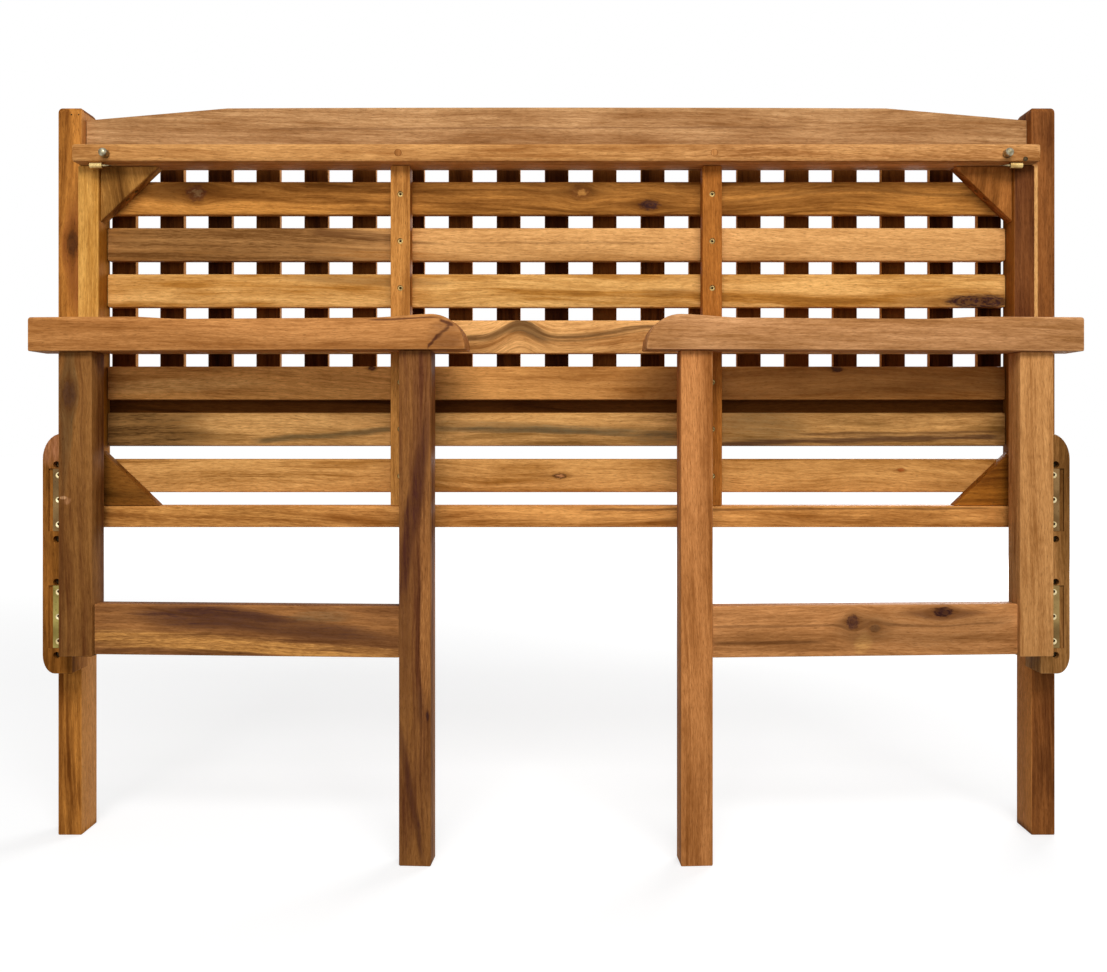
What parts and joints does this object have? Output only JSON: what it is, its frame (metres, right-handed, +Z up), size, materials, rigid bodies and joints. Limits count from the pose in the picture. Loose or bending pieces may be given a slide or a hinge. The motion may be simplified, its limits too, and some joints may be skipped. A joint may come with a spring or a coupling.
{
  "type": "folding garden bench",
  "caption": "Slatted wooden garden bench with arms, folded flat: side frames swing out on butt hinges and the seat is pivoted to drop between them.",
  "frame": {"origin": "on the floor, at the middle of the folded bench's width and depth", "axes": "+X to the sitter's left (the viewer's right from the front), -Y towards the front of the bench, +Z up"},
  "size_m": [1.2, 0.1574, 0.8797],
  "materials": {
    "leg_wood": "oiled",
    "back_rail_wood": "oiled",
    "block_wood": "oiled",
    "seat_rail_wood": "oiled",
    "seat_slat_wood": "oiled",
    "arm_wood": "oiled",
    "frame_wood": "oiled",
    "brass": "satin",
    "steel": "satin"
  },
  "bodies": {
    "back_frame": {"left_rear_leg": "leg_wood", "right_rear_leg": "leg_wood", "back_top_rail": "back_rail_wood", "back_slats_and_lower_rail": "back_rail_wood", "left_hinge_block": "block_wood", "right_hinge_block": "block_wood", "left_lower_hinge_fixed_leaf": "brass", "left_lower_hinge_pin": "brass", "left_upper_hinge_fixed_leaf": "brass", "left_upper_hinge_pin": "brass", "right_lower_hinge_fixed_leaf": "brass", "right_lower_hinge_pin": "brass", "right_upper_hinge_fixed_leaf": "brass", "right_upper_hinge_pin": "brass", "left_pivot_bolt": "steel", "right_pivot_bolt": "steel", "left_pivot_washer": "steel", "right_pivot_washer": "steel"},
    "seat": {"seat_front_rail": "seat_rail_wood", "seat_rear_rail": "seat_rail_wood", "left_seat_rail": "seat_rail_wood", "right_seat_rail": "seat_rail_wood", "left_mid_support": "seat_rail_wood", "right_mid_support": "seat_rail_wood", "left_front_corner_block": "seat_rail_wood", "right_front_corner_block": "seat_rail_wood", "left_rear_corner_block": "seat_rail_wood", "right_rear_corner_block": "seat_rail_wood", "seat_slat_1": "seat_slat_wood", "seat_slat_2": "seat_slat_wood", "seat_slat_3": "seat_slat_wood", "seat_slat_4": "seat_slat_wood", "seat_slat_5": "seat_slat_wood", "seat_slat_6": "seat_slat_wood", "seat_slat_7": "seat_slat_wood", "left_lock_pin": "steel", "right_lock_pin": "steel", "left_stop_barrel": "brass", "right_stop_barrel": "brass", "left_stop_screw": "steel", "right_stop_screw": "steel"},
    "left_side_frame": {"left_rear_post": "frame_wood", "left_front_leg": "frame_wood", "left_lower_rail": "frame_wood", "left_corbel": "frame_wood", "left_arm": "arm_wood", "left_lower_hinge_moving_leaf": "brass", "left_upper_hinge_moving_leaf": "brass"},
    "right_side_frame": {"right_rear_post": "frame_wood", "right_front_leg": "frame_wood", "right_lower_rail": "frame_wood", "right_corbel": "frame_wood", "right_arm": "arm_wood", "right_lower_hinge_moving_leaf": "brass", "right_upper_hinge_moving_leaf": "brass"}
  },
  "joints": [
    {"name": "left_side_frame_hinge", "type": "hinge", "parent": "back_frame", "child": "left_side_frame", "pos_m": [-0.5643, -0.01194, 0.34], "axis": [0, 0, -1], "range_deg": [-3.3, 86.7]},
    {"name": "right_side_frame_hinge", "type": "hinge", "parent": "back_frame", "child": "right_side_frame", "pos_m": [0.5643, -0.01194, 0.34], "axis": [0, 0, 1], "range_deg": [-3.3, 86.7]},
    {"name": "seat_fold", "type": "hinge", "parent": "back_frame", "child": "seat", "pos_m": [0, 0.00966, 0.3865], "axis": [1, 0, 0], "range_deg": [0, 1.8]}
  ]
}
